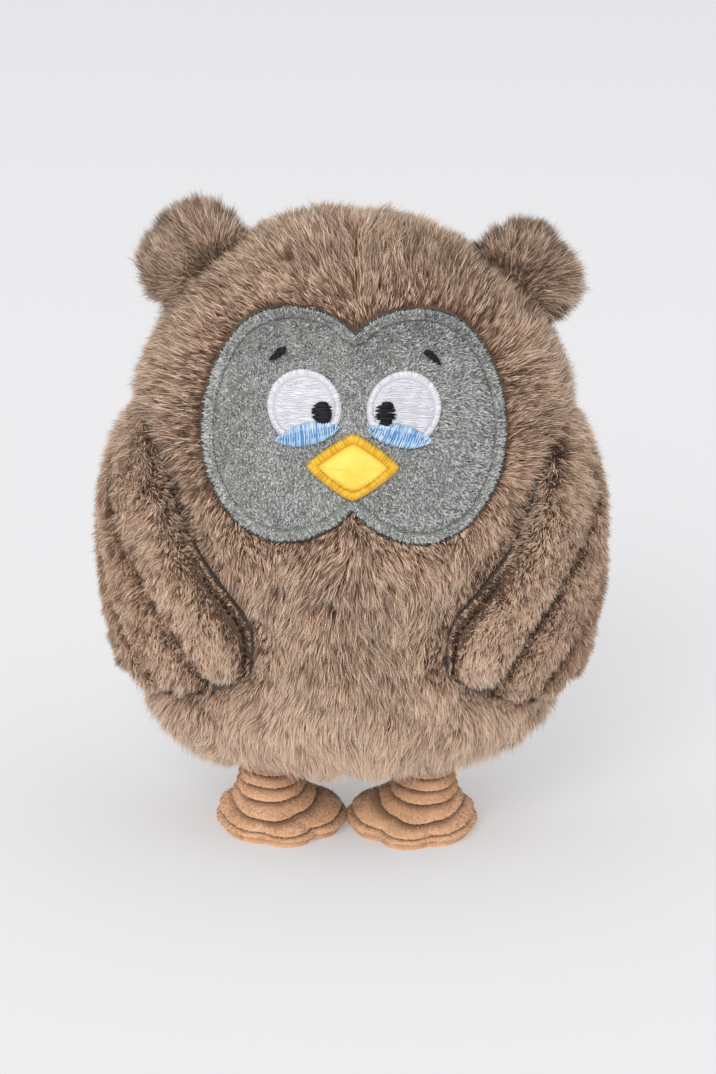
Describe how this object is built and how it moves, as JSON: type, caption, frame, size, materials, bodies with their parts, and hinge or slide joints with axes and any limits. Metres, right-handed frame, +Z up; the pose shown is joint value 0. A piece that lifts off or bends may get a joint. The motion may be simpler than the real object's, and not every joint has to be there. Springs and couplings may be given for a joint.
{
  "type": "plush owl",
  "caption": "Round plush owl with a flat face mask, embroidered eyes and beak, folding ears, lifting quilted wings and swinging ribbed legs.",
  "frame": {"origin": "on the floor under the middle of the owl's box, at the soles' level", "axes": "+Z up, -Y the way the face looks, +X the owl's own left"},
  "size_m": [0.1566, 0.1113, 0.1926],
  "materials": {
    "taupe_fur": "matte",
    "polyester_filling": "matte",
    "grey_plush": "matte",
    "grey_thread": "satin",
    "white_plush": "matte",
    "white_thread": "satin",
    "black_thread": "satin",
    "blue_thread": "satin",
    "gold_thread": "satin",
    "yellow_fabric": "satin",
    "ribbed_corduroy": "matte",
    "wing_lining": "matte"
  },
  "bodies": {
    "body": {"body_front_left": "taupe_fur", "body_front_right": "taupe_fur", "body_back_left": "taupe_fur", "body_back_right": "taupe_fur", "body_stuffing": "polyester_filling", "face_mask": "grey_plush", "face_mask_border": "grey_thread", "beak_border": "gold_thread", "beak_panel": "yellow_fabric", "eye_border_left": "white_thread", "eye_patch_left": "white_plush", "pupil_left": "black_thread", "lower_lid_left": "blue_thread", "brow_left": "black_thread", "eye_border_right": "white_thread", "eye_patch_right": "white_plush", "pupil_right": "black_thread", "lower_lid_right": "blue_thread", "brow_right": "black_thread"},
    "ear_left": {"ear_left_front": "taupe_fur", "ear_left_back": "taupe_fur"},
    "wing_left": {"wing_left_outer": "taupe_fur", "wing_left_lining": "wing_lining"},
    "leg_left": {"leg_left_cover": "ribbed_corduroy", "leg_left_stuffing": "polyester_filling", "leg_left_sole": "ribbed_corduroy"},
    "ear_right": {"ear_right_front": "taupe_fur", "ear_right_back": "taupe_fur"},
    "wing_right": {"wing_right_outer": "taupe_fur", "wing_right_lining": "wing_lining"},
    "leg_right": {"leg_right_cover": "ribbed_corduroy", "leg_right_stuffing": "polyester_filling", "leg_right_sole": "ribbed_corduroy"}
  },
  "joints": [
    {"name": "ear_left_fold", "type": "hinge", "parent": "body", "child": "ear_left", "pos_m": [0.04432, 0, 0.172], "axis": [0.6818, 0, -0.7316], "range_deg": [-18, 18], "stiffness_Nm_per_rad": 0.006},
    {"name": "ear_right_fold", "type": "hinge", "parent": "body", "child": "ear_right", "pos_m": [-0.04432, 0, 0.172], "axis": [0.6818, 0, 0.7316], "range_deg": [-18, 18], "stiffness_Nm_per_rad": 0.006},
    {"name": "wing_left_lift", "type": "hinge", "parent": "body", "child": "wing_left", "pos_m": [0.06628, 0, 0.133], "axis": [0, -1, 0], "range_deg": [0, 60], "stiffness_Nm_per_rad": 0.002, "springref_deg": -11.46},
    {"name": "wing_right_lift", "type": "hinge", "parent": "body", "child": "wing_right", "pos_m": [-0.06628, 0, 0.133], "axis": [0, 1, 0], "range_deg": [0, 60], "stiffness_Nm_per_rad": 0.002, "springref_deg": -11.46},
    {"name": "leg_left_swing", "type": "hinge", "parent": "body", "child": "leg_left", "pos_m": [0.0243, -0.011, 0.02095], "axis": [-1, 0, 0], "range_deg": [-15, 25]},
    {"name": "leg_right_swing", "type": "hinge", "parent": "body", "child": "leg_right", "pos_m": [-0.0243, -0.011, 0.02095], "axis": [-1, 0, 0], "range_deg": [-15, 25]}
  ]
}
